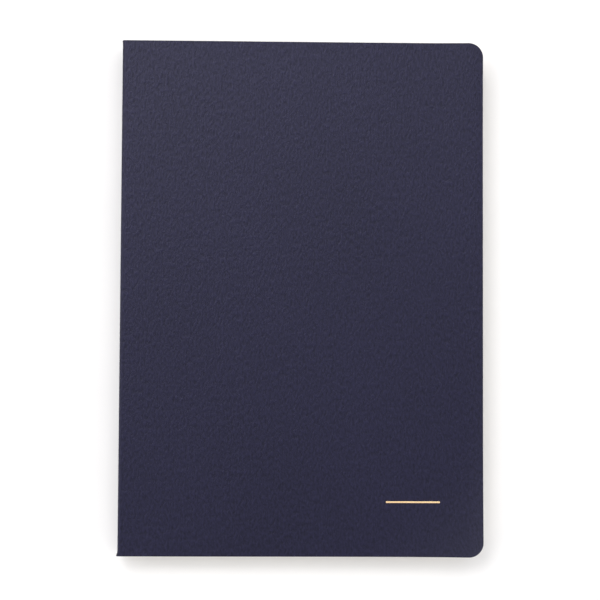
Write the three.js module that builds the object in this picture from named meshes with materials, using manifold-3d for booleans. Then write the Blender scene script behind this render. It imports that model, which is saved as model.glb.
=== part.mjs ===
// Pilot logbook: an A5 portrait softcover book, thread-sewn in twelve signatures.
//
// Frame: millimetres, +Z up, the closed book lying on its back cover. The origin is the
// middle of the back cover's underside. The spine is at -X, the fore edge at +X, the head
// (top edge of a page) at +Y and the tail at -Y.
//
// The cover is one scored sheet on the real book. It is held here as three panels (back,
// spine, front) that meet along the two score lines, because each panel turns on its own.
// The hinge lines run along Y through the outer corners of the spine:
//   back score  (x = -COVER_W / 2, z = 0)
//   front score (x = -COVER_W / 2, z = THICKNESS)

import * as THREE from 'three';
import { mergeVertices } from 'three/addons/utils/BufferGeometryUtils.js';
import Module from 'manifold-3d';

// ---------------------------------------------------------------- driving dimensions

const COVER_W = 148; // A5 width
const COVER_H = 210; // A5 height
const CORNER_R = 6; // rounded corners at the fore edge; the spine corners are square
const COVER_T = 0.5; // laminated cover stock
const GAP = 0.02; // air between sheets that lie on each other

const PAGE_INSET = 0.3; // trimmed block set back from the cover on its three open edges
const ENDPAPER_T = 0.14;
const LEAF_T = 0.115;
const LEAVES = 8; // leaves in a signature: four folded sheets, sixteen pages
const SLIT = 0.02; // the opening at the middle of a signature
const SIGNATURES = 12;
const SIGNATURE_T = LEAVES * LEAF_T + SLIT;

// layers behind the folds, counted inwards from the spine's outer face
const SPINE_GLUE_T = 0.12;
const LINER_T = 0.1;
const MULL_T = 0.12;
const LAYER_GAP = 0.03;

const THREAD = 0.22; // linen sewing thread
const POCKET = 0.28; // room for the thread in the fold
const HOLE_L = 0.6; // sewing hole, along the spine
const STITCH_Y = [-85, -59, -49, -23, -13, 13, 23, 49, 59, 85]; // sewing holes, tail to head
const KETTLE_Y = 97; // kettle stitches, head and tail

const FOIL_L = 22; // foil-stamped line on the front cover
const FOIL_W = 0.7;
const FOIL_T = 0.03;
const FOIL_X = 45.5;
const FOIL_Y = -82.95;
const DEBOSS = 0.06; // depth of the stamped groove

// ---------------------------------------------------------------- derived positions

const X0 = -COVER_W / 2;
const X1 = COVER_W / 2;
const Y1 = COVER_H / 2;
const PAGE_X1 = X1 - PAGE_INSET;
const PAGE_Y1 = Y1 - PAGE_INSET;

const GLUE_X0 = X0 + COVER_T + LAYER_GAP;
const LINER_X0 = GLUE_X0 + SPINE_GLUE_T + LAYER_GAP;
const MULL_X0 = LINER_X0 + LINER_T + LAYER_GAP;
const THREAD_X0 = MULL_X0 + MULL_T + LAYER_GAP;
const FOLD_X0 = THREAD_X0 + THREAD + LAYER_GAP; // outside of every fold
const POCKET_X0 = FOLD_X0 + (LEAVES / 2) * LEAF_T; // inside of the innermost fold

const BACK_PASTEDOWN_Z = COVER_T + GAP;
const BACK_FLYLEAF_Z = BACK_PASTEDOWN_Z + ENDPAPER_T + GAP;
const BLOCK_Z = BACK_FLYLEAF_Z + ENDPAPER_T + GAP;
const PITCH = SIGNATURE_T + GAP;
const FRONT_FLYLEAF_Z = BLOCK_Z + SIGNATURES * PITCH;
const FRONT_PASTEDOWN_Z = FRONT_FLYLEAF_Z + ENDPAPER_T + GAP;
const FRONT_COVER_Z = FRONT_PASTEDOWN_Z + ENDPAPER_T + GAP;
const THICKNESS = FRONT_COVER_Z + COVER_T;
const SPINE_Z0 = COVER_T + LAYER_GAP;
const SPINE_H = THICKNESS - 2 * SPINE_Z0;

// ---------------------------------------------------------------- materials

const coverStock = () =>
  new THREE.MeshStandardMaterial({ color: 0x33324a, roughness: 0.62, metalness: 0 });
const foil = () =>
  new THREE.MeshStandardMaterial({ color: 0xd9a066, roughness: 0.28, metalness: 1 });
const endpaper = () =>
  new THREE.MeshStandardMaterial({ color: 0xeee8d8, roughness: 0.85, metalness: 0 });
const paper = () =>
  new THREE.MeshStandardMaterial({ color: 0xf4efe2, roughness: 0.9, metalness: 0 });
const thread = () =>
  new THREE.MeshStandardMaterial({ color: 0xf1ede0, roughness: 0.8, metalness: 0 });
const glue = () =>
  new THREE.MeshStandardMaterial({ color: 0xe2dccb, roughness: 0.5, metalness: 0 });
const kraft = () =>
  new THREE.MeshStandardMaterial({ color: 0xb08d63, roughness: 0.9, metalness: 0 });
const gauze = () =>
  new THREE.MeshStandardMaterial({ color: 0xe6e2d6, roughness: 0.95, metalness: 0 });

// ---------------------------------------------------------------- geometry helpers

const wasm = await Module();
wasm.setup();

// A closed geometry as a solid that can be cut and joined.
function solid(geometry) {
  const bare = geometry.clone();
  bare.deleteAttribute('normal');
  bare.deleteAttribute('uv');
  const merged = mergeVertices(bare, 1e-5);
  return new wasm.Manifold(
    new wasm.Mesh({
      numProp: 3,
      vertProperties: Float32Array.from(merged.attributes.position.array),
      triVerts: Uint32Array.from(merged.index.array),
    }),
  );
}

function geometryOf(body) {
  const { vertProperties, triVerts } = body.getMesh();
  const g = new THREE.BufferGeometry();
  g.setAttribute('position', new THREE.BufferAttribute(Float32Array.from(vertProperties), 3));
  g.setIndex(new THREE.BufferAttribute(Uint32Array.from(triVerts), 1));
  g.computeVertexNormals();
  return g;
}

// Outline of a sheet seen from above: square at the spine, rounded at the fore edge.
function sheetShape(x0, x1, halfHeight, radius) {
  const s = new THREE.Shape();
  s.moveTo(x0, -halfHeight);
  s.lineTo(x1 - radius, -halfHeight);
  s.absarc(x1 - radius, -halfHeight + radius, radius, -Math.PI / 2, 0, false);
  s.lineTo(x1, halfHeight - radius);
  s.absarc(x1 - radius, halfHeight - radius, radius, 0, Math.PI / 2, false);
  s.lineTo(x0, halfHeight);
  s.closePath();
  return s;
}

function plate(shape, thickness) {
  return new THREE.ExtrudeGeometry(shape, {
    depth: thickness,
    bevelEnabled: false,
    curveSegments: 6,
  });
}

// A box given by its lowest and highest corners.
function block(lo, hi) {
  const g = new THREE.BoxGeometry(hi[0] - lo[0], hi[1] - lo[1], hi[2] - lo[2]);
  return g.translate((hi[0] + lo[0]) / 2, (hi[1] + lo[1]) / 2, (hi[2] + lo[2]) / 2);
}

function polygon(points) {
  const s = new THREE.Shape();
  points.forEach(([x, y], i) => (i ? s.lineTo(x, y) : s.moveTo(x, y)));
  s.closePath();
  return s;
}

function part(name, geometry, material, z = 0) {
  const m = new THREE.Mesh(geometry, material);
  m.name = name;
  m.position.z = z;
  return m;
}

// ---------------------------------------------------------------- cover

const coverPanel = () => plate(sheetShape(X0, X1, Y1, CORNER_R), COVER_T);

// The front panel has the shallow stamped groove that the foil lies in.
function frontPanel() {
  const groove = block(
    [FOIL_X - FOIL_L / 2 - 0.05, FOIL_Y - FOIL_W / 2 - 0.05, COVER_T - DEBOSS],
    [FOIL_X + FOIL_L / 2 + 0.05, FOIL_Y + FOIL_W / 2 + 0.05, COVER_T + 1],
  );
  return geometryOf(solid(coverPanel()).subtract(solid(groove)));
}

// Foil strip with round ends, a little below the cover's surface.
function foilStrip() {
  const r = FOIL_W / 2;
  const s = new THREE.Shape();
  s.moveTo(-FOIL_L / 2 + r, -r);
  s.lineTo(FOIL_L / 2 - r, -r);
  s.absarc(FOIL_L / 2 - r, 0, r, -Math.PI / 2, Math.PI / 2, false);
  s.lineTo(-FOIL_L / 2 + r, r);
  s.absarc(-FOIL_L / 2 + r, 0, r, Math.PI / 2, (3 * Math.PI) / 2, false);
  return new THREE.ExtrudeGeometry(s, { depth: FOIL_T, bevelEnabled: false, curveSegments: 6 });
}

// ---------------------------------------------------------------- leaves

const endSheet = () =>
  plate(sheetShape(FOLD_X0, PAGE_X1, PAGE_Y1, CORNER_R - PAGE_INSET), ENDPAPER_T);

// A signature: four sheets folded once and nested, as one body. Its section is a flat U that
// opens at the fore edge, round outside the fold and with room for the thread inside it.
// Local z = 0 is the middle of its thickness.
function signature() {
  const r = SIGNATURE_T / 2;
  const far = PAGE_X1 + 5;
  const u = new THREE.Shape();
  u.moveTo(far, -r);
  u.lineTo(far, -SLIT / 2);
  u.lineTo(POCKET_X0 + POCKET, -SLIT / 2);
  u.lineTo(POCKET_X0 + POCKET, -POCKET / 2);
  u.lineTo(POCKET_X0, -POCKET / 2);
  u.lineTo(POCKET_X0, POCKET / 2);
  u.lineTo(POCKET_X0 + POCKET, POCKET / 2);
  u.lineTo(POCKET_X0 + POCKET, SLIT / 2);
  u.lineTo(far, SLIT / 2);
  u.lineTo(far, r);
  u.lineTo(FOLD_X0 + r, r);
  u.absarc(FOLD_X0 + r, 0, r, Math.PI / 2, (3 * Math.PI) / 2, false);
  const long = new THREE.ExtrudeGeometry(u, {
    depth: COVER_H + 10,
    bevelEnabled: false,
    curveSegments: 4,
  });
  long.rotateX(Math.PI / 2).translate(0, COVER_H / 2 + 5, 0);
  const outline = plate(
    sheetShape(FOLD_X0 - 5, PAGE_X1, PAGE_Y1, CORNER_R - PAGE_INSET),
    4 * r,
  ).translate(0, 0, -2 * r);
  let body = solid(long).intersect(solid(outline));
  for (const y of STITCH_Y) {
    body = body.subtract(
      solid(
        block(
          [FOLD_X0 - 1, y - HOLE_L / 2, -POCKET / 2],
          [POCKET_X0 + POCKET / 2, y + HOLE_L / 2, POCKET / 2],
        ),
      ),
    );
  }
  return geometryOf(body);
}

// The thread of one signature: it runs inside the fold from hole to hole, outside from each
// pair to the next, and at both ends outside to the kettle stitch.
function sewingThread() {
  const h = THREAD / 2;
  const outer = THREAD_X0; // lowest x of the runs behind the fold
  const inner = POCKET_X0 + (POCKET - THREAD) / 2 + THREAD; // highest x of the runs inside
  const end = KETTLE_Y - 1;
  const back = [[outer, -end]];
  const front = [[outer + THREAD, -end]];
  STITCH_Y.forEach((y, i) => {
    if (i % 2 === 0) {
      // from outside, tailwards, to inside, headwards
      front.push([outer + THREAD, y - h], [inner, y - h]);
      back.push([outer, y + h], [inner - THREAD, y + h]);
    } else {
      front.push([inner, y + h], [outer + THREAD, y + h]);
      back.push([inner - THREAD, y - h], [outer, y - h]);
    }
  });
  front.push([outer + THREAD, end]);
  back.push([outer, end]);
  const g = new THREE.ExtrudeGeometry(polygon([...front, ...back.reverse()]), {
    depth: THREAD,
    bevelEnabled: false,
  });
  return g.translate(0, 0, -h);
}

// ---------------------------------------------------------------- spine

// A kettle stitch: the chain of knots that ties the signatures together at one end.
function kettleStitch(y) {
  const left = [];
  const right = [];
  for (let i = 0; i < SIGNATURES; i++) {
    const z = BLOCK_Z + i * PITCH + SIGNATURE_T / 2;
    for (const [dz, w] of [
      [-0.36, 0.13],
      [-0.2, 0.45],
      [0.2, 0.45],
      [0.36, 0.13],
    ]) {
      right.push([y + w, z + dz]);
      left.push([y - w, z + dz]);
    }
  }
  const g = new THREE.ExtrudeGeometry(polygon([...right, ...left.reverse()]), {
    depth: THREAD,
    bevelEnabled: false,
  });
  // the outline lies in the plane of the spine: shape x along Y, shape y along Z, depth along X
  g.applyMatrix4(
    new THREE.Matrix4().makeBasis(
      new THREE.Vector3(0, 1, 0),
      new THREE.Vector3(0, 0, 1),
      new THREE.Vector3(1, 0, 0),
    ),
  );
  return g.translate(THREAD_X0, 0, 0);
}

const blockZ1 = FRONT_FLYLEAF_Z - GAP;
const spineLayer = (x, t, halfLength) =>
  block([x, -halfLength, BLOCK_Z], [x + t, halfLength, blockZ1]);

// ---------------------------------------------------------------- assembly

const logbook = new THREE.Group();
logbook.name = 'pilot_logbook';

const backCover = new THREE.Group();
backCover.add(
  part('back_cover', coverPanel(), coverStock()),
  part('back_pastedown', endSheet(), endpaper(), BACK_PASTEDOWN_Z),
);

const bookBlock = new THREE.Group();
bookBlock.add(
  part(
    'spine_cover',
    block([X0, -Y1, SPINE_Z0], [X0 + COVER_T, Y1, SPINE_Z0 + SPINE_H]),
    coverStock(),
  ),
  part('spine_glue', spineLayer(GLUE_X0, SPINE_GLUE_T, PAGE_Y1), glue()),
  part('spine_liner', spineLayer(LINER_X0, LINER_T, PAGE_Y1 - 1), kraft()),
  part('spine_mull', spineLayer(MULL_X0, MULL_T, PAGE_Y1 - 6), gauze()),
  part('kettle_stitch_tail', kettleStitch(-KETTLE_Y), thread()),
  part('kettle_stitch_head', kettleStitch(KETTLE_Y), thread()),
  part('back_flyleaf', endSheet(), endpaper(), BACK_FLYLEAF_Z),
  part('front_flyleaf', endSheet(), endpaper(), FRONT_FLYLEAF_Z),
);

// signature_01 is the first to be read, under the front cover
for (let i = 0; i < SIGNATURES; i++) {
  const number = String(SIGNATURES - i).padStart(2, '0');
  const section = new THREE.Group();
  section.position.z = BLOCK_Z + i * PITCH + SIGNATURE_T / 2;
  section.add(
    part(`signature_${number}`, signature(), paper()),
    part(`sewing_thread_${number}`, sewingThread(), thread()),
  );
  bookBlock.add(section);
}

const frontCover = new THREE.Group();
frontCover.add(
  part('front_pastedown', endSheet(), endpaper(), FRONT_PASTEDOWN_Z),
  part('front_cover', frontPanel(), coverStock(), FRONT_COVER_Z),
);
const foilLine = part('foil_line', foilStrip(), foil(), THICKNESS - FOIL_T - 0.015);
foilLine.position.x = FOIL_X;
foilLine.position.y = FOIL_Y;
frontCover.add(foilLine);

logbook.add(backCover, bookBlock, frontCover);

export default logbook;
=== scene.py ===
import math

import bpy
import numpy as np
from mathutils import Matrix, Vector


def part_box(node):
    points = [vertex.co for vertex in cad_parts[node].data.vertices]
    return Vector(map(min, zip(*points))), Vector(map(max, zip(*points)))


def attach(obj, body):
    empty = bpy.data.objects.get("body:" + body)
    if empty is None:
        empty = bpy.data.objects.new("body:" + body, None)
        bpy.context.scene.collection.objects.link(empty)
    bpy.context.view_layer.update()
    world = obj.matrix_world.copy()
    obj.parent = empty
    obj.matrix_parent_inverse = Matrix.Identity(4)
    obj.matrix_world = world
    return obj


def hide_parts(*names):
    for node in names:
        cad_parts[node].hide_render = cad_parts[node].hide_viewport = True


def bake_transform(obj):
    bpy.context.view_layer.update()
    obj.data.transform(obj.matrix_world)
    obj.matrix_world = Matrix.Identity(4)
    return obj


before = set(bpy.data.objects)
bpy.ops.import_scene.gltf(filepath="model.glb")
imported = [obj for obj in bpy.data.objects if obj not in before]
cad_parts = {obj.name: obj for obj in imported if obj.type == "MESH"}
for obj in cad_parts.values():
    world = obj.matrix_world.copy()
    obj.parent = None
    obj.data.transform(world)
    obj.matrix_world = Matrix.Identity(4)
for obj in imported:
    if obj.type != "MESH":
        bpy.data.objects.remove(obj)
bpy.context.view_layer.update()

# ---------------------------------------------------------------- frame and dimensions (mm)

MM = 0.001


def mm(v):
    return np.array([c / MM for c in v])


lo, hi = (mm(c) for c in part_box("front_cover"))
X0, X1, Y1, TOP = lo[0], hi[0], hi[1], hi[2]
COVER_T = hi[2] - lo[2]
CORNER_R = 6.0
plo, phi = (mm(c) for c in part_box("front_pastedown"))
FOLD_X, PAGE_X1, PAGE_Y1 = plo[0], phi[0], phi[1]
PAGE_R = CORNER_R - (X1 - PAGE_X1)
SPINE_R = 1.3  # outer radius of the cover where it bends round the spine

BLOCK = "book_block"
FRONT = "front_cover_body"
rng = np.random.default_rng(11)


def smooth(t):
    t = np.clip(t, 0, 1)
    return t * t * (3 - 2 * t)


# ---------------------------------------------------------------- mesh building


def make(name, verts, faces, mats, face_mat, face_smooth, loop_uv):
    """A mesh object from vertices in mm, quads, a material index, a smooth flag for each face, and a UV (in metres) for each corner."""
    me = bpy.data.meshes.new(name)
    me.from_pydata((verts * MM).tolist(), [], faces.tolist())
    for m in mats:
        me.materials.append(m)
    me.polygons.foreach_set("material_index", face_mat.astype(np.int32))
    me.polygons.foreach_set("use_smooth", face_smooth.astype(bool))
    uv = me.uv_layers.new(name="surface")
    uv.data.foreach_set("uv", (loop_uv * MM).astype(np.float32).ravel())
    me.update()
    me.validate(verbose=False)
    ob = bpy.data.objects.new(name, me)
    bpy.context.scene.collection.objects.link(ob)
    return ob


def shell(A, B, uvA, uvB=None, mat_a=0, mat_b=0, mat_edge=1, cap_start=True):
    """A closed sheet between the grids A (outer) and B (inner), both n by m by 3, with n along the path and m along Y. Returns arrays for make(), which
    join() can gather. uvA is n by m by 2, in mm."""
    n, m, _ = A.shape
    uvB = uvA if uvB is None else uvB
    idx = np.arange(n * m).reshape(n, m)
    jdx = idx + n * m
    verts = np.concatenate([A.reshape(-1, 3), B.reshape(-1, 3)])
    flat_uv = np.concatenate([uvA.reshape(-1, 2), uvB.reshape(-1, 2)])

    def quads(a, b, c, d):
        return np.stack([a.ravel(), b.ravel(), c.ravel(), d.ravel()], 1)

    top = quads(idx[:-1, :-1], idx[1:, :-1], idx[1:, 1:], idx[:-1, 1:])
    bot = quads(jdx[:-1, 1:], jdx[1:, 1:], jdx[1:, :-1], jdx[:-1, :-1])
    tail = quads(jdx[:-1, 0], jdx[1:, 0], idx[1:, 0], idx[:-1, 0])
    head = quads(idx[:-1, -1], idx[1:, -1], jdx[1:, -1], jdx[:-1, -1])
    start = quads(idx[0, :-1], idx[0, 1:], jdx[0, 1:], jdx[0, :-1])
    end = quads(idx[-1, 1:], idx[-1, :-1], jdx[-1, :-1], jdx[-1, 1:])
    faces = np.concatenate([top, bot, tail, head, start, end])
    kinds = np.concatenate(
        [
            np.full(len(top), mat_a),
            np.full(len(bot), mat_b),
            np.full(len(tail) + len(head) + len(start) + len(end), mat_edge),
        ]
    )
    smooth_flags = np.concatenate(
        [
            np.ones(len(top) + len(bot), bool),
            np.zeros(len(tail) + len(head) + len(start) + len(end), bool),
        ]
    )
    # page faces read the sheet's own coordinates; cut edges read (distance along, height)
    loop_uv = flat_uv[faces].copy()
    edge = np.arange(len(faces)) >= len(top) + len(bot)
    v = verts[faces[edge]]
    loop_uv[edge] = np.stack([v[..., 0] + v[..., 1], v[..., 2]], -1)
    return verts, faces, kinds, smooth_flags, loop_uv


def join(parts):
    verts, faces, kinds, flags, uvs, at = [], [], [], [], [], 0
    for v, f, k, s, u in parts:
        verts.append(v)
        faces.append(f + at)
        kinds.append(k)
        flags.append(s)
        uvs.append(u)
        at += len(v)
    return tuple(np.concatenate(a) for a in (verts, faces, kinds, flags, uvs))


def build(name, parts, mats):
    v, f, k, s, u = join(parts)
    return make(name, v, f, mats, k, s, u.reshape(-1, 2))


# ---------------------------------------------------------------- shader helpers


class Nodes:
    """Short names for the nodes of one material."""

    def __init__(self, name):
        self.mat = bpy.data.materials.new(name)
        self.mat.use_nodes = True
        self.t = self.mat.node_tree
        self.bsdf = self.t.nodes["Principled BSDF"]

    def node(self, kind, **values):
        n = self.t.nodes.new(kind)
        for k, v in values.items():
            setattr(n, k, v)
        return n

    def link(self, a, b):
        self.t.links.new(a, b)

    def put(self, socket, value):
        if isinstance(value, bpy.types.NodeSocket):
            self.link(value, socket)
        else:
            socket.default_value = value

    def math(self, op, a, b=0.0, c=None, clamp=False):
        n = self.node("ShaderNodeMath", operation=op, use_clamp=clamp)
        self.put(n.inputs[0], a)
        self.put(n.inputs[1], b)
        if c is not None:
            self.put(n.inputs[2], c)
        return n.outputs[0]

    def uv(self):
        return self.node("ShaderNodeUVMap", uv_map="surface").outputs["UV"]

    def object(self):
        return self.node("ShaderNodeTexCoord").outputs["Object"]

    def scaled(self, vector, scale, offset=(0, 0, 0)):
        n = self.node("ShaderNodeMapping")
        self.link(vector, n.inputs["Vector"])
        n.inputs["Scale"].default_value = scale
        n.inputs["Location"].default_value = offset
        return n.outputs["Vector"]

    def noise(self, vector, scale=1.0, detail=2.0, rough=0.5, distortion=0.0):
        n = self.node("ShaderNodeTexNoise")
        self.link(vector, n.inputs["Vector"])
        n.inputs["Scale"].default_value = scale
        n.inputs["Detail"].default_value = detail
        n.inputs["Roughness"].default_value = rough
        n.inputs["Distortion"].default_value = distortion
        return n.outputs["Fac"]

    def voronoi(self, vector, scale=1.0, feature="F1", rand=1.0, out="Distance"):
        n = self.node("ShaderNodeTexVoronoi", feature=feature)
        self.link(vector, n.inputs["Vector"])
        n.inputs["Scale"].default_value = scale
        n.inputs["Randomness"].default_value = rand
        return n.outputs[out]

    def range(self, value, a, b, c=0.0, d=1.0):
        n = self.node("ShaderNodeMapRange")
        self.put(n.inputs["Value"], value)
        for name, x in zip(("From Min", "From Max", "To Min", "To Max"), (a, b, c, d)):
            n.inputs[name].default_value = x
        return n.outputs["Result"]

    def mix(self, factor, a, b, blend="MIX"):
        n = self.node("ShaderNodeMix", data_type="RGBA", blend_type=blend)
        self.put(n.inputs[0], factor)
        for s, v in ((n.inputs[6], a), (n.inputs[7], b)):
            if isinstance(v, tuple):
                v = (*v, 1.0)
            self.put(s, v)
        return n.outputs[2]

    def bump(self, height, strength, distance, normal=None):
        n = self.node("ShaderNodeBump")
        n.inputs["Strength"].default_value = strength
        n.inputs["Distance"].default_value = distance
        self.link(height, n.inputs["Height"])
        if normal is not None:
            self.link(normal, n.inputs["Normal"])
        return n.outputs["Normal"]

    def set(self, **values):
        for k, v in values.items():
            self.put(self.bsdf.inputs[k.replace("_", " ")], v)
        return self.mat


# ---------------------------------------------------------------- materials


def cover_material():
    """Navy leatherette paper: a fine embossed grain that runs from head to tail."""
    s = Nodes("cover_leatherette")
    p = s.uv()
    fibre = s.noise(s.scaled(p, (2600, 900, 1)), 1.0, 3.0, 0.62, 0.3)
    pebble = s.voronoi(s.scaled(p, (3300, 1700, 1), (3, 7, 0)), 1.0, "SMOOTH_F1")
    streak = s.noise(s.scaled(p, (1180, 560, 1), (2, 1, 0)), 1.0, 2.5, 0.7, 0.3)
    soft = s.noise(s.scaled(p, (420, 260, 1), (9, 2, 0)), 1.0, 2.0, 0.5)
    cloud = s.noise(s.scaled(p, (22, 14, 1), (1, 5, 0)), 1.0, 3.0, 0.55)
    grain = s.math("ADD", s.math("MULTIPLY", fibre, 0.65), s.math("MULTIPLY", pebble, 0.35))
    shade = s.math("ADD", s.math("MULTIPLY", grain, 0.2), s.math("ADD", s.math("MULTIPLY", streak, 0.7), s.math("MULTIPLY", cloud, 0.1)))
    colour = s.mix(s.range(shade, 0.36, 0.64), (0.0020, 0.0017, 0.0100), (0.0138, 0.0130, 0.0375))
    # a little dust caught in the grain
    speck = s.voronoi(s.scaled(p, (95, 95, 1), (0.3, 0.8, 0)), 1.0, "F1")
    pick = s.node("ShaderNodeTexVoronoi", feature="F1")
    s.link(s.scaled(p, (95, 95, 1), (0.3, 0.8, 0)), pick.inputs["Vector"])
    chosen = s.math("GREATER_THAN", s.node_value(pick.outputs["Color"]), 0.965)
    dust = s.math("MULTIPLY", s.range(speck, 0.012, 0.026, 1.0, 0.0), chosen)
    colour = s.mix(s.math("MULTIPLY", dust, 0.35), colour, (0.32, 0.33, 0.36))
    n1 = s.bump(grain, 0.5, 0.00009)
    n2 = s.bump(s.math("ADD", s.math("MULTIPLY", streak, 0.75), s.math("MULTIPLY", soft, 0.25)), 1.0, 0.0003, n1)
    # painted sheen, partly real handling wear: the colour is lightened a little at the tail corner and along the fore
    # edge near it
    xyz = s.node("ShaderNodeSeparateXYZ")
    s.link(p, xyz.inputs[0])
    reach = s.math("SUBTRACT", xyz.outputs[0], xyz.outputs[1])
    corner = s.math("POWER", s.range(reach, 0.203, 0.259), 2.0)
    edge = s.math("MULTIPLY", s.range(xyz.outputs[0], 0.147, 0.153), s.range(xyz.outputs[1], 0.03, -0.08))
    painted_sheen_and_wear = s.math("ADD", s.math("MULTIPLY", corner, 0.28), s.math("MULTIPLY", edge, 0.08))
    painted_sheen_and_wear = s.math("MULTIPLY", painted_sheen_and_wear, s.range(shade, 0.3, 0.7, 0.7, 1.3))
    # the painted sheen and wear are mixed into the colour here
    colour = s.mix(painted_sheen_and_wear, colour, (0.040, 0.040, 0.058))
    rough = s.range(s.math("ADD", s.math("MULTIPLY", grain, 0.4), s.math("MULTIPLY", streak, 0.6)), 0.32, 0.68, 0.52, 0.40)
    return s.set(Base_Color=colour, Roughness=rough, Normal=n2, Specular_IOR_Level=0.373, Specular_Tint=(0.75, 0.75, 1.0, 1.0))


def _separate(self, colour):
    n = self.node("ShaderNodeSeparateColor")
    self.link(colour, n.inputs[0])
    return n.outputs[0]


Nodes.node_value = _separate


def cover_edge_material():
    """The cut edge of the cover stock: dyed board fibres, a little paler than the face."""
    s = Nodes("cover_cut_edge")
    p = s.uv()
    fibre = s.noise(s.scaled(p, (1400, 14000, 1)), 1.0, 3.0, 0.6)
    blot = s.noise(s.scaled(p, (260, 900, 1), (4, 0, 0)), 1.0, 2.0, 0.5)
    colour = s.mix(s.range(fibre, 0.3, 0.7), (0.008, 0.008, 0.013), (0.024, 0.024, 0.034))
    colour = s.mix(s.range(blot, 0.45, 0.75, 0.0, 0.5), colour, (0.014, 0.014, 0.022))
    return s.set(Base_Color=colour, Roughness=s.range(fibre, 0.2, 0.8, 0.7, 0.9), Normal=s.bump(fibre, 0.4, 0.00008), Specular_IOR_Level=0.3)


def paper_colour(s, p, light, dark):
    fibre = s.noise(s.scaled(p, (1500, 900, 1)), 1.0, 4.0, 0.65)
    cloud = s.noise(s.scaled(p, (45, 45, 1), (2, 3, 0)), 1.0, 3.0, 0.5)
    f = s.math("ADD", s.math("MULTIPLY", fibre, 0.55), s.math("MULTIPLY", cloud, 0.45))
    return s.mix(s.range(f, 0.35, 0.65), dark, light), fibre


def endpaper_material():
    s = Nodes("endpaper")
    p = s.uv()
    colour, fibre = paper_colour(s, p, (0.70, 0.665, 0.575), (0.64, 0.605, 0.515))
    fleck = s.voronoi(s.scaled(p, (260, 260, 1)), 1.0, "F1")
    colour = s.mix(s.range(fleck, 0.03, 0.07, 0.25, 0.0), colour, (0.50, 0.44, 0.35))
    return s.set(Base_Color=colour, Roughness=s.range(fibre, 0.2, 0.8, 0.82, 0.95), Normal=s.bump(fibre, 0.25, 0.00006), Specular_IOR_Level=0.25)


def edge_material(name, light, dark):
    """Trimmed paper edges: fine lines, one to a leaf, with small shade changes along the cut."""
    s = Nodes(name)
    p = s.uv()
    leaf = s.noise(s.scaled(p, (28, 8600, 1)), 1.0, 2.0, 0.7)
    group = s.noise(s.scaled(p, (9, 950, 1), (5, 1, 0)), 1.0, 2.0, 0.5)
    dots = s.noise(s.scaled(p, (1900, 5200, 1), (1, 9, 0)), 1.0, 2.0, 0.6)
    f = s.math("ADD", s.math("MULTIPLY", leaf, 0.5), s.math("ADD", s.math("MULTIPLY", group, 0.3), s.math("MULTIPLY", dots, 0.2)))
    colour = s.mix(s.range(f, 0.36, 0.64), dark, light)
    return s.set(Base_Color=colour, Roughness=s.range(dots, 0.2, 0.8, 0.82, 0.95), Normal=s.bump(f, 0.6, 0.00008), Specular_IOR_Level=0.2)


def page_material():
    """Off-white ledger paper, ruled as a blank flight log: a double head rule, rows, columns and a totals band. Coordinates run from the fold (x) and the middle (y)."""
    s = Nodes("ruled_page")
    p = s.uv()
    colour, fibre = paper_colour(s, p, (0.735, 0.70, 0.60), (0.68, 0.645, 0.545))
    xyz = s.node("ShaderNodeSeparateXYZ")
    s.link(p, xyz.inputs[0])
    x = s.math("MULTIPLY", xyz.outputs[0], 1000.0)
    y = s.math("MULTIPLY", xyz.outputs[1], 1000.0)
    left, right, low, top = 10.0, 139.0, -92.0, 88.0
    head, totals = 70.0, -77.0

    def inside(v, a, b):
        return s.math("MULTIPLY", s.math("GREATER_THAN", v, a), s.math("LESS_THAN", v, b))

    def rule(v, at, width):
        return s.math("LESS_THAN", s.math("ABSOLUTE", s.math("SUBTRACT", v, at)), width / 2)

    in_x, in_y = inside(x, left - 0.1, right + 0.1), inside(y, low - 0.1, top + 0.1)
    box = s.math("MULTIPLY", in_x, in_y)
    # rows of 7 mm between the head and the totals
    row_v = s.math("FRACT", s.math("DIVIDE", s.math("SUBTRACT", y, totals), 7.0))
    rows = s.math("MULTIPLY", s.math("LESS_THAN", s.math("PINGPONG", s.math("ADD", row_v, 0.0), 0.5), 0.015), inside(y, totals - 0.2, head + 0.2))
    cols = None
    for at in (10, 27, 42, 57, 69, 81, 93, 105, 116, 127, 139):
        r = rule(x, at, 0.22)
        cols = r if cols is None else s.math("MAXIMUM", cols, r)
    heavy = None
    for v, at in ((y, top), (y, head), (y, head + 0.8), (y, totals), (y, totals - 0.8), (y, low), (x, left), (x, right)):
        r = rule(v, at, 0.4)
        heavy = r if heavy is None else s.math("MAXIMUM", heavy, r)
    split = s.math("MULTIPLY", rule(y, 79.0, 0.22), inside(x, 42.0, 116.0))
    lines = s.math("MULTIPLY", s.math("MAXIMUM", s.math("MAXIMUM", rows, cols), split), box)
    heavy = s.math("MULTIPLY", heavy, box)
    band = s.math("MULTIPLY", s.math("MAXIMUM", inside(y, head + 0.8, top), inside(y, low, totals - 0.8)), in_x)
    alternate = s.math("MULTIPLY", s.math("LESS_THAN", s.math("FRACT", s.math("DIVIDE", s.math("SUBTRACT", y, totals), 14.0)), 0.5), s.math("MULTIPLY", inside(y, totals, head), in_x))
    colour = s.mix(s.math("MULTIPLY", alternate, 0.10), colour, (0.55, 0.62, 0.70))
    colour = s.mix(s.math("MULTIPLY", band, 0.30), colour, (0.45, 0.52, 0.62))
    ink = s.range(fibre, 0.2, 0.8, 0.62, 0.92)
    colour = s.mix(s.math("MULTIPLY", lines, ink), colour, (0.16, 0.22, 0.32))
    colour = s.mix(s.math("MULTIPLY", heavy, ink), colour, (0.05, 0.07, 0.13))
    return s.set(Base_Color=colour, Roughness=s.range(fibre, 0.2, 0.8, 0.84, 0.96), Normal=s.bump(fibre, 0.2, 0.00005), Specular_IOR_Level=0.22)


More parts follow.
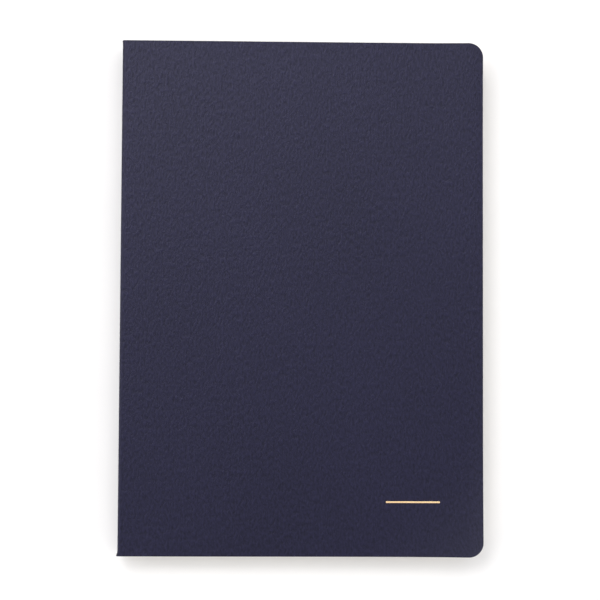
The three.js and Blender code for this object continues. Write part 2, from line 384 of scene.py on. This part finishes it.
def foil_material():
    """Hot-stamped copper foil: bright metal broken by the grain it was pressed into."""
    s = Nodes("copper_foil")
    p = s.uv()
    grain = s.noise(s.scaled(p, (2600, 900, 1)), 1.0, 3.0, 0.6)
    long = s.noise(s.scaled(p, (160, 1800, 1), (2, 0, 0)), 1.0, 2.0, 0.5)
    colour = s.mix(s.range(s.math("ADD", s.math("MULTIPLY", grain, 0.5), s.math("MULTIPLY", long, 0.5)), 0.35, 0.65), (0.97, 0.66, 0.36), (1.0, 0.78, 0.47))
    return s.set(Base_Color=colour, Metallic=0.8, Roughness=s.range(grain, 0.3, 0.7, 0.46, 0.66), Normal=s.bump(grain, 0.35, 0.00006))


def thread_material():
    s = Nodes("linen_thread")
    p = s.uv()
    twist = s.noise(s.scaled(p, (1600, 6000, 1)), 1.0, 2.0, 0.5, 0.6)
    colour = s.mix(s.range(twist, 0.35, 0.65), (0.66, 0.62, 0.53), (0.86, 0.83, 0.75))
    return s.set(Base_Color=colour, Roughness=s.range(twist, 0.2, 0.8, 0.7, 0.9), Normal=s.bump(twist, 0.6, 0.0001))


def kraft_material():
    s = Nodes("kraft_liner")
    p = s.object()
    fibre = s.noise(s.scaled(p, (1200, 500, 1200)), 1.0, 4.0, 0.65)
    colour = s.mix(s.range(fibre, 0.35, 0.65), (0.32, 0.21, 0.12), (0.50, 0.35, 0.21))
    return s.set(Base_Color=colour, Roughness=s.range(fibre, 0.2, 0.8, 0.8, 0.95), Normal=s.bump(fibre, 0.3, 0.00006))


def gauze_material():
    s = Nodes("mull_gauze")
    p = s.object()
    xyz = s.node("ShaderNodeSeparateXYZ")
    s.link(p, xyz.inputs[0])
    warp = s.math("SINE", s.math("MULTIPLY", xyz.outputs[1], 9000.0))
    weft = s.math("SINE", s.math("MULTIPLY", xyz.outputs[2], 9000.0))
    weave = s.math("MAXIMUM", warp, weft)
    n = s.noise(s.scaled(p, (2000, 2000, 2000)), 1.0, 2.0, 0.5)
    colour = s.mix(s.range(s.math("ADD", s.math("MULTIPLY", weave, 0.5), n), 0.2, 1.1), (0.45, 0.42, 0.35), (0.84, 0.81, 0.74))
    return s.set(Base_Color=colour, Roughness=s.range(n, 0.2, 0.8, 0.85, 0.97), Normal=s.bump(weave, 0.6, 0.00012))


def glue_material():
    s = Nodes("spine_adhesive")
    p = s.object()
    n = s.noise(s.scaled(p, (700, 260, 700)), 1.0, 3.0, 0.55)
    colour = s.mix(s.range(n, 0.35, 0.65), (0.62, 0.57, 0.44), (0.78, 0.74, 0.62))
    return s.set(Base_Color=colour, Roughness=s.range(n, 0.2, 0.8, 0.35, 0.55), Normal=s.bump(n, 0.4, 0.0002))


COVER = cover_material()
COVER_EDGE = cover_edge_material()
ENDPAPER = endpaper_material()
ENDPAPER_EDGE = edge_material("endpaper_edge", (0.70, 0.66, 0.57), (0.52, 0.48, 0.40))
PAGE = page_material()
PAGE_EDGE = edge_material("page_edge", (0.76, 0.72, 0.62), (0.50, 0.465, 0.385))
FOIL = foil_material()

# ---------------------------------------------------------------- cover

# The fore edge lifts a little from the pages, most at its corners, as a used softcover's does.


def lift(x, y):
    edge = smooth((x - 46) / (X1 - 46)) ** 2
    corner = smooth((x - 40) / 34) ** 2 * smooth((np.abs(y) - 60) / 45) ** 2
    # the tail corner has been bent up by handling, the head corner hardly
    curl_tail = np.clip(((x - 46) + (-y - 77)) / 56, 0, 1) ** 2
    curl_head = np.clip(((x - 52) + (y - 83)) / 44, 0, 1) ** 2
    wave = 0.05 * np.sin(x * 0.05 + 0.6) * np.sin(y * 0.032 + 1.1) * smooth((x + 66) / 30)
    return 0.42 * edge + 0.2 * corner + np.maximum(wave, 0) + 1.2 * curl_tail + 0.4 * curl_head


def unroll(path_x, path_z):
    return np.concatenate([[0], np.cumsum(np.hypot(np.diff(path_x), np.diff(path_z)))])


EDGE_STEPS = np.array([0, 0.02, 0.05, 0.09, 0.14, 0.3, 0.7, 1.3, 2.2, 3.5, 5.5])


def rows_between(extra=()):
    """Distances of the rows from the middle, as (sign, inset from the edge) pairs would give: a sorted array of y for a sheet of half height Y1."""
    inner = np.linspace(-(Y1 - 8), Y1 - 8, 52)
    ys = np.concatenate([inner, Y1 - EDGE_STEPS, -(Y1 - EDGE_STEPS), np.array(extra)])
    return np.unique(np.round(ys, 4))


FOIL_LO, FOIL_HI = (mm(c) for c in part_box("foil_line"))
FX, FY = (FOIL_LO[0] + FOIL_HI[0]) / 2, (FOIL_LO[1] + FOIL_HI[1]) / 2
FL, FW = (FOIL_HI[0] - FOIL_LO[0]) / 2, (FOIL_HI[1] - FOIL_LO[1]) / 2
RIM = np.array([-0.16, -0.1, -0.04, 0.02, 0.08])


def cover_panel(x_far, radius, y_half, ys, columns):
    """Plan grid of a cover panel: x for each column, and y for each column and row. Columns past x_far - radius follow the corner arcs."""
    x = np.asarray(columns)
    reach = np.where(
        x > x_far - radius,
        y_half - radius + np.sqrt(np.maximum(radius**2 - (x - (x_far - radius)) ** 2, 0)),
        y_half,
    )
    # rows keep their distance from the edge near it, and spread evenly further in
    y = np.empty((len(x), len(ys)))
    for i, r in enumerate(reach):
        shrink = y_half - r
        s = np.sign(ys)
        a = np.abs(ys)
        near = smooth((a - (y_half - 40)) / 40)
        y[i] = s * (a - shrink * near)
    return x, y


def border(x, y, x_far, radius, y_half):
    """Distance from a point to the panel's outline, leaving out the spine side."""
    cx, cy = x_far - radius, y_half - radius
    ay = np.abs(y)
    in_corner = (x > cx) & (ay > cy)
    return np.where(
        in_corner,
        radius - np.hypot(np.maximum(x - cx, 0), np.maximum(ay - cy, 0)),
        np.minimum(x_far - x, y_half - ay),
    )


def worn(d, r=0.13):
    """How far a cut edge of radius r drops below the face at distance d from the outline."""
    t = np.clip(d / r, 0, 1)
    return r * (1 - np.sqrt(1 - (1 - t) ** 2))


def arc_columns(x_far, radius, n=12):
    """Columns that follow the rounded corner, closer together towards the fore edge."""
    phi = np.linspace(0, math.pi / 2, n)
    return x_far - radius + radius * np.sin(phi)


JOIN_Z = 2.8  # height of the join between the cover's two halves, below the bend of the back joint


def cover_half(name, front):
    """Half of the cover sheet, as one sheet: one panel, the bend at the spine, and the spine down to the join or up to it."""
    sign = 1 if front else -1
    z_face = TOP if front else 0.0
    mid = TOP / 2
    ys = rows_between(
        list(FY - FW + RIM * 1) + list(FY + FW - RIM * 1) if front else ()
    )
    # path from the join low on the spine, round the bend and out to the fore edge
    if front:
        # a hidden tongue carries this half behind the edge of the other, so that the spine shows no join
        spine_z = np.concatenate([[JOIN_Z - 0.7, JOIN_Z - 0.35, JOIN_Z - 0.02, JOIN_Z, JOIN_Z + 0.02], np.linspace(JOIN_Z + 0.4, z_face - SPINE_R, 12)[:-1]])
    else:
        spine_z = np.array([JOIN_Z, JOIN_Z - 0.02, JOIN_Z - 0.5, SPINE_R + 0.4])
    ang = np.linspace(0, math.pi / 2, 11)
    flat = np.concatenate(
        [
            X0 + SPINE_R + np.array([0.25, 0.5, 0.8, 1.15, 1.6, 2.2, 3.0, 4.0, 5.5]),
            np.linspace(X0 + SPINE_R + 7.5, X1 - CORNER_R - 0.5, 46),
            (list(FX - FL + RIM) + list(FX + FL - RIM)) if front else [],
            arc_columns(X1, CORNER_R, 13),
            X1 - EDGE_STEPS[1:5],
        ]
    )
    flat = np.unique(np.round(flat, 4))
    n_spine, n_arc, n_flat = len(spine_z), len(ang), len(flat)
    px = np.concatenate([np.full(n_spine, X0), X0 + SPINE_R - SPINE_R * np.cos(ang), flat])
    pz = np.concatenate([spine_z, z_face - sign * (SPINE_R - SPINE_R * np.sin(ang)), np.full(n_flat, z_face)])
    # unit normals, outwards
    nx = np.concatenate([np.full(n_spine, -1.0), -np.cos(ang), np.zeros(n_flat)])
    nz = np.concatenate([np.zeros(n_spine), sign * np.sin(ang), np.full(n_flat, float(sign))])
    # measured from the middle of the spine, so that the grain runs on across the join
    u = unroll(px, pz) - 0.7 - (mid - JOIN_Z) if front else -unroll(px, pz) - (mid - JOIN_Z)
    _, y = cover_panel(X1, CORNER_R, Y1, ys, px)
    X = np.repeat(px[:, None], len(ys), 1)
    Z = np.repeat(pz[:, None], len(ys), 1)
    NX = np.repeat(nx[:, None], len(ys), 1)
    NZ = np.repeat(nz[:, None], len(ys), 1)
    d = border(X, y, X1, CORNER_R, Y1)
    d = np.maximum(d, 0)
    drop = worn(d)
    raise_z = lift(X, y) * (1 if front else 0)
    if front:
        # the stamped groove
        gx = smooth((FL + 0.06 - np.abs(X - FX)) / 0.12)
        gy = smooth((FW + 0.06 - np.abs(y - FY)) / 0.12)
        drop = drop + 0.055 * gx * gy
    # a spine is never quite flat: a shallow hollow, and flared corners at the tail
    hollow = 0.10 * np.maximum(-NX, 0) * np.cos(np.clip((Z - mid) / (mid - SPINE_R), -1, 1) * math.pi / 2) ** 2
    A = np.stack([X - NX * drop, y, Z - NZ * drop + raise_z], -1)
    B = np.stack(
        [X - NX * (COVER_T - 0.35 * drop), y, Z - NZ * (COVER_T - 0.35 * drop) + raise_z], -1
    )
    tongue = 0.008 * (Z < JOIN_Z - 0.01) * front
    for G in (A, B):
        G[..., 0] += hollow + tongue
        G[..., 1] *= np.where(tongue > 0, 1 - 0.06 / Y1, 1)
        tail = np.exp(-(((G[..., 1] + Y1) / 1.1) ** 2)) * smooth((X0 + 2.2 - X) / 2.2)
        head = np.exp(-(((G[..., 1] - Y1) / 1.0) ** 2)) * smooth((X0 + 2.0 - X) / 2.0)
        G[..., 0] -= 0.5 * tail + 0.12 * head
    uv = np.stack([np.repeat(u[:, None], len(ys), 1), y], -1)
    if front:
        parts = [shell(A, B, uv, None, 0, 1, 1)]
    else:
        # the path runs the other way, so that the outer side stays on its left
        parts = [shell(A[::-1], B[::-1], uv[::-1], None, 0, 1, 1)]
    ob = build(name, parts, [COVER, COVER_EDGE])
    return ob


front_skin = cover_half("cover_front_half", True)
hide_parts("front_cover", "spine_cover")
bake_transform(front_skin)

back_skin = cover_half("cover_back_half", False)
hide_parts("back_cover", "spine_cover")
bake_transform(back_skin)

# ---------------------------------------------------------------- foil line


def foil_strip():
    """A thin strip with round ends, pressed into the groove, a touch thicker at its ends where the foil gathers."""
    n, m = 90, 9
    t = np.linspace(-1, 1, n)
    # columns crowd at the round ends
    x = np.sign(t) * (1 - (1 - np.abs(t)) ** 1.6) * FL
    end = FL - FW
    over = np.maximum(np.abs(x) - end, 0)
    half = np.sqrt(np.maximum(FW**2 - over**2, 0.0))
    half = np.maximum(half, 0.03)
    ragged = 1 + 0.02 * np.sin(x * 3.1) + 0.015 * np.sin(x * 7.7 + 1)
    blob = 1 + 0.10 * np.exp(-(((np.abs(x) - (FL - 0.45)) / 0.35) ** 2))
    half = half * ragged * blob
    v = np.linspace(-1, 1, m)
    X = np.repeat((FX + x)[:, None], m, 1)
    Yg = FY + half[:, None] * v[None, :]
    crown = 0.018 * (1 - v[None, :] ** 2) + 0.012 * (blob[:, None] - 1) / 0.10
    base = TOP - 0.055 + lift(X, Yg)
    top = base + 0.012 + crown
    A = np.stack([X, Yg, top], -1)
    B = np.stack([X, Yg, base - 0.01 + 0 * top], -1)
    uv = np.stack([X, Yg], -1)
    return build("foil_line_stamped", [shell(A, B, uv, None, 0, 0, 0)], [FOIL])


foil = foil_strip()
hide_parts("foil_line")
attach(foil, FRONT)

# ---------------------------------------------------------------- leaves


def leaf_columns(gutter, plain):
    """x of a leaf's columns from the fold's centre to the fore edge: close together in the gutter of a leaf that bends."""
    start = FOLD_X
    near = np.concatenate([np.arange(0.5, 3.1, 0.15), np.arange(3.3, 6.2, 0.28), [6.5, 6.9, 7.4, 7.9, 8.6, 9.4, 10.5, 13]]) if gutter else np.array([0.5, 3.0])
    far = np.linspace(18 if gutter else 14, PAGE_X1 - PAGE_R - FOLD_X - 1, plain)
    return start + np.concatenate([near, far]), PAGE_X1 - PAGE_R + PAGE_R * np.sin(np.linspace(0, math.pi / 2, 15))


LEAF_ROWS = np.array([0, 0.06, 0.3, 1.0, 3.0, 7.0])


def leaf_ys(n):
    inner = np.linspace(-(PAGE_Y1 - 14), PAGE_Y1 - 14, n)
    ys = np.concatenate([inner, PAGE_Y1 - LEAF_ROWS, -(PAGE_Y1 - LEAF_ROWS)])
    return np.unique(np.round(ys, 4))


def flat_sheet(name, z0, z1, mats, x_start=None, gutter=True, raised=None, trim=0.0, plain=7, across=15):
    """One leaf between heights z0 and z1."""
    a, b = leaf_columns(gutter, plain)
    x = np.concatenate([[FOLD_X if x_start is None else x_start], a, b])
    x = np.unique(np.round(x, 4))
    ys = leaf_ys(across)
    _, y = cover_panel(PAGE_X1, PAGE_R, PAGE_Y1, ys, x)
    y = y * (1 - trim / PAGE_Y1)
    X = np.repeat(x[:, None], len(ys), 1)
    up = raised(X, y) if raised else 0 * X
    A = np.stack([X, y, z1 + up], -1)
    B = np.stack([X, y, z0 + up], -1)
    uv = np.stack([X - FOLD_X, y], -1)
    return build(name, [shell(A, B, uv)], mats)


def node_z(node):
    a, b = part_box(node)
    return a[2] / MM, b[2] / MM


z0, z1 = node_z("front_pastedown")
front_paste = flat_sheet("front_endpaper_pasted", z0, z1, [ENDPAPER, ENDPAPER_EDGE], raised=lift, plain=40, across=60)
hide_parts("front_pastedown")
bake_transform(front_paste)

z0, z1 = node_z("front_flyleaf")
front_fly = flat_sheet("front_endpaper_free", z0, z1, [ENDPAPER, ENDPAPER_EDGE])
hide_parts("front_flyleaf")
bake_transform(front_fly)

z0, z1 = node_z("back_flyleaf")
back_fly = flat_sheet("back_endpaper_free", z0, z1, [ENDPAPER, ENDPAPER_EDGE])
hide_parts("back_flyleaf")
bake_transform(back_fly)

z0, z1 = node_z("back_pastedown")
back_paste = flat_sheet("back_endpaper_pasted", z0, z1, [ENDPAPER, ENDPAPER_EDGE])
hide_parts("back_pastedown")
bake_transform(back_paste)

SHEETS = 4


def signature(name, node, turning, index):
    """Four sheets folded once and nested, each a closed sheet with its own trimmed edge."""
    za, zb = node_z(node)
    zm, half = (za + zb) / 2, (zb - za) / 2
    pitch = half / SHEETS
    thick = pitch * 0.94
    xc = FOLD_X + half
    parts = []
    a, b = leaf_columns(turning, 6 if turning else 3)
    a = a[a > xc + 0.02]
    ys = leaf_ys(15 if turning else 9)
    offset = rng.uniform(-0.05, 0.05)
    for k in range(SHEETS):
        outer = half - k * pitch
        inner = max(outer - thick, 0.004)
        trim = rng.uniform(0.0, 0.05)
        x_flat = np.concatenate([[xc], a, b])
        x_flat = x_flat + (offset * 0.5 - trim) * smooth((x_flat - 40) / 30)
        reach_x = PAGE_X1 + offset * 0.5 - trim
        ang = np.linspace(0, math.pi, 9)[1:-1]
        # path: lower leaf from the fore edge to the fold, round the fold, upper leaf back out
        ax = np.concatenate([x_flat[::-1], xc - outer * np.sin(ang), x_flat])
        bx = np.concatenate([x_flat[::-1], xc - inner * np.sin(ang), x_flat])
        az = np.concatenate([np.full(len(x_flat), -outer), -outer * np.cos(ang), np.full(len(x_flat), outer)])
        bz = np.concatenate([np.full(len(x_flat), -inner), -inner * np.cos(ang), np.full(len(x_flat), inner)])
        _, y = cover_panel(reach_x, PAGE_R, PAGE_Y1, ys, np.maximum(ax, xc))
        y = y * (1 - rng.uniform(0, 0.0004))
        m = len(ys)
        A = np.stack([np.repeat(ax[:, None], m, 1), y, np.repeat((zm + az)[:, None], m, 1)], -1)
        B = np.stack([np.repeat(bx[:, None], m, 1), y, np.repeat((zm + bz)[:, None], m, 1)], -1)
        uv = np.stack([A[..., 0] - FOLD_X, y], -1)
        parts.append(shell(A, B, uv))
    return build(name, parts, [PAGE, PAGE_EDGE])


for i in range(1, 13):
    node = f"signature_{i:02d}"
    turning = i <= 4
    ob = signature(f"folded_sheets_{i:02d}", node, turning, i)
    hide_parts(node)
    if turning:
        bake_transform(ob)
    else:
        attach(ob, BLOCK)

# ---------------------------------------------------------------- sewing and spine layers

THREAD = thread_material()
STITCH_Y = [-85, -59, -49, -23, -13, 13, 23, 49, 59, 85]


def smoothed(points, rounds=3):
    """Corners cut off a path of points until it runs round them."""
    p = np.array(points, float)
    for _ in range(rounds):
        q = np.empty((2 * len(p), 3))
        q[0], q[-1] = p[0], p[-1]
        q[1:-1:2] = 0.75 * p[:-1] + 0.25 * p[1:]
        q[2::2] = 0.25 * p[:-1] + 0.75 * p[1:]
        p = q
    return p


def spaced(p, step):
    """The same path with its points at equal distances."""
    length = np.concatenate([[0], np.cumsum(np.linalg.norm(np.diff(p, axis=0), axis=1))])
    at = np.linspace(0, length[-1], max(int(length[-1] / step), 3))
    return np.stack([np.interp(at, length, p[:, k]) for k in range(3)], 1), at


def tube(p, at, up, radius, sides=6, plies=0, lay=2.0):
    """A closed tube on a flat path; up is square to the path's plane. With plies, the section is lobed and turns once in each length lay."""
    t = np.gradient(p, axis=0)
    t /= np.linalg.norm(t, axis=1)[:, None]
    n = np.broadcast_to(np.array(up, float), p.shape)
    b = np.cross(t, n)
    phi = np.arange(sides) * 2 * math.pi / sides
    turn = (at / lay * 2 * math.pi)[:, None] if plies else np.zeros((len(p), 1))
    a = phi[None, :] + turn
    r = radius * (1 - (0.16 * (0.5 - 0.5 * np.cos(plies * (a - turn))) if plies else 0) + 0 * a)
    ring = p[:, None, :] + r[..., None] * (np.cos(a)[..., None] * n[:, None, :] + np.sin(a)[..., None] * b[:, None, :])
    idx = np.arange(len(p) * sides).reshape(len(p), sides)
    nxt = np.roll(idx, -1, 1)
    wall = np.stack([idx[:-1].ravel(), nxt[:-1].ravel(), nxt[1:].ravel(), idx[1:].ravel()], 1)
    first, last = idx[0], idx[-1]
    if sides == 4:
        caps = [first[::-1], last]
    else:
        caps = [first[[5, 2, 1, 0]], first[[5, 4, 3, 2]], last[[0, 1, 2, 5]], last[[2, 3, 4, 5]]]
    faces = np.concatenate([wall, np.array(caps)])
    verts = ring.reshape(-1, 3)
    u = np.repeat(at[:, None], sides, 1).ravel()
    v = np.repeat((phi * radius)[None, :], len(p), 0).ravel()
    uv = np.stack([u, v], -1)[faces]
    return verts, faces, np.zeros(len(faces), int), np.ones(len(faces), bool), uv


def sewing(i):
    """The thread of one signature: inside the fold from hole to hole, outside from each pair of holes to the next."""
    a, b = (mm(c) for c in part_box(f"sewing_thread_{i:02d}"))
    half = (b[2] - a[2]) / 2
    z, outside, inside = (a[2] + b[2]) / 2, a[0] + half, b[0] - half
    points = [(outside, a[1], z)]
    for k, y in enumerate(STITCH_Y):
        run = [(outside, y, z), (inside, y, z)]
        points += run if k % 2 == 0 else run[::-1]
    points.append((outside, b[1], z))
    dense = [points[0]]
    for q0, q1 in zip(points[:-1], points[1:]):
        # points close to each corner keep the rounding tight
        q0, q1 = np.array(q0), np.array(q1)
        d = np.linalg.norm(q1 - q0)
        if d > 1:
            dense += [tuple(q0 + (q1 - q0) * 0.25 / d), tuple(q1 - (q1 - q0) * 0.25 / d)]
        dense.append(tuple(q1))
    path, at = spaced(smoothed(dense, 2), 0.42)
    ob = build(f"linen_thread_{i:02d}", [tube(path, at, (0, 0, 1), half * 0.98, 6, 2, 2.1)], [THREAD])
    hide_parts(f"sewing_thread_{i:02d}")
    return ob


for i in range(1, 13):
    ob = sewing(i)
    if i <= 4:
        # the thread stays with its fold, at the spine, while the leaves swing over
        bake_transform(ob)
    else:
        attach(ob, BLOCK)


def kettle(node):
    """The chain of knots at one end of the folds: a loop for each signature, caught under the one before."""
    a, b = (mm(c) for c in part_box(node))
    half = (b[0] - a[0]) / 2
    x, y = (a[0] + b[0]) / 2, (a[1] + b[1]) / 2
    wide = (b[1] - a[1]) / 2 - 0.1
    z = np.linspace(a[2] + 0.1, b[2] - 0.1, 12 * 14 + 1)
    turn = np.linspace(0, 12 * 2 * math.pi, len(z))
    parts = []
    for phase in (0, math.pi):
        path = np.stack([x + 0 * z, y + wide * np.sin(turn + phase), z], 1)
        shift = 0.045 * np.cos(turn + phase)
        even, at = spaced(path, 0.16)
        even[:, 0] += np.interp(np.linspace(0, 1, len(even)), np.linspace(0, 1, len(shift)), shift)
        parts.append(tube(even, at, (1, 0, 0), half - 0.05, 6, 2, 2.1))
    ob = build(node + "_chain", parts, [THREAD])
    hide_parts(node)
    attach(ob, BLOCK)


kettle("kettle_stitch_head")
kettle("kettle_stitch_tail")


def gauze():
    """Open-weave mull: yarns along the spine and across it, over and under each other."""
    a, b = (mm(c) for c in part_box("spine_mull"))
    x, r = (a[0] + b[0]) / 2, 0.028
    wave = (b[0] - a[0]) / 2 - r
    ys = np.arange(a[1] + 0.5, b[1] - 0.3, 1.5)
    zs = np.linspace(a[2] + 0.3, b[2] - 0.3, 12)
    parts = []
    for k, z in enumerate(zs):
        y = np.linspace(a[1] + r, b[1] - r, 2 * len(ys) + 1)
        at = y - y[0]
        p = np.stack([x + wave * np.cos((y - ys[0]) / 1.5 * math.pi + k * math.pi), y, np.full(len(y), z)], 1)
        parts.append(tube(p, at, (0, 0, 1), r, 4))
    for k, y in enumerate(ys):
        z = np.linspace(a[2] + r, b[2] - r, 2 * len(zs) + 1)
        at = z - z[0]
        step = zs[1] - zs[0]
        p = np.stack([x - wave * np.cos((z - zs[0]) / step * math.pi + k * math.pi), np.full(len(z), y), z], 1)
        parts.append(tube(p, at, (0, 1, 0), r, 4))
    ob = build("mull_gauze_weave", parts, [gauze_material()])
    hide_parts("spine_mull")
    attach(ob, BLOCK)


def strip(node, name, material, uneven, ragged):
    """A strip glued along the spine, with an uneven back and slightly ragged ends."""
    a, b = (mm(c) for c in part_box(node))
    zs, ys = np.linspace(a[2], b[2], 16), np.linspace(a[1], b[1], 150)
    Z, Y = np.meshgrid(zs, ys, indexing="ij")
    bumps = 0.5 + 0.25 * np.sin(Y * 0.83 + 1.3 * np.sin(Z * 0.9)) + 0.25 * np.sin(Y * 2.17 + Z * 1.9 + 0.4)
    Y = Y * (1 - ragged * (0.5 + 0.5 * np.sin(Z * 4.1 + 0.7 * np.sign(Y))) / b[1])
    A = np.stack([np.full(Z.shape, a[0]) + uneven * bumps, Y, Z], -1)
    B = np.stack([np.full(Z.shape, b[0]), Y, Z], -1)
    ob = build(name, [shell(A, B, np.stack([Z, Y], -1), None, 0, 0, 0)], [material])
    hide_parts(node)
    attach(ob, BLOCK)


gauze()
strip("spine_liner", "kraft_liner_strip", kraft_material(), 0.012, 0.10)
strip("spine_glue", "adhesive_layer", glue_material(), 0.045, 0.35)

# ---------------------------------------------------------------- stage, light, camera


def floor():
    me = bpy.data.meshes.new("stage_floor")
    r = 4.0
    me.from_pydata([(-r, -r, 0), (r, -r, 0), (r, r, 0), (-r, r, 0)], [], [(0, 1, 2, 3)])
    s = Nodes("stage_paper")
    n = s.noise(s.scaled(s.object(), (30, 30, 30)), 1.0, 2.0, 0.5)
    colour = s.mix(s.range(n, 0.3, 0.7), (0.885, 0.880, 0.884), (0.895, 0.890, 0.894))
    me.materials.append(s.set(Base_Color=colour, Roughness=0.9, Specular_IOR_Level=0.1))
    ob = bpy.data.objects.new("stage_floor", me)
    bpy.context.scene.collection.objects.link(ob)
    return ob


floor()


def area(name, location, size, power, colour=(1, 1, 1), target=(0, 0, 0)):
    light = bpy.data.lights.new(name, "AREA")
    light.shape = "RECTANGLE"
    light.size, light.size_y = size
    light.energy = power
    light.color = colour
    ob = bpy.data.objects.new(name, light)
    ob.location = location
    ob.rotation_euler = (Vector(target) - Vector(location)).to_track_quat("-Z", "Y").to_euler()
    bpy.context.scene.collection.objects.link(ob)
    return ob


# soft boxes round the table, the strongest at the head and the spine side: (azimuth, elevation, power)
RING = [
    (0, 32, 6.3),
    (180, 32, 7.5),
    (90, 55, 8.6),
    (135, 55, 18.6),
    (45, 55, 3.4),
    (270, 16, 11.0),
    (330, 16, 2.0),
]
for azimuth, elevation, power in RING:
    a, e = math.radians(azimuth), math.radians(elevation)
    tint = (1.0, 0.985, 0.97) if 80 < azimuth < 280 else (0.985, 0.985, 1.0)
    area(f"ring_{azimuth}_{elevation}", (2 * math.cos(a) * math.cos(e), 2 * math.sin(a) * math.cos(e), 2 * math.sin(e)), (1.4, 0.9), power, tint)

world = bpy.data.worlds.new("studio")
world.use_nodes = True
world.node_tree.nodes["Background"].inputs["Color"].default_value = (0.98, 0.985, 1.0, 1)
world.node_tree.nodes["Background"].inputs["Strength"].default_value = 0.5
bpy.context.scene.world = world

cam = bpy.data.cameras.new("camera")
cam.lens = 70
cam.sensor_width = 36
cam.clip_start, cam.clip_end = 0.01, 20
camera = bpy.data.objects.new("camera", cam)
camera.location = (-0.009977553, -0.018773438, 0.488092186)
camera.rotation_euler = (0.036981, -0.019642, 0.005216)
bpy.context.scene.collection.objects.link(camera)
bpy.context.scene.camera = camera

bpy.context.scene.view_settings.view_transform = "Standard"
bpy.context.scene.view_settings.look = "None"
bpy.context.scene.view_settings.exposure = 0.0
bpy.context.scene.view_settings.gamma = 1.0
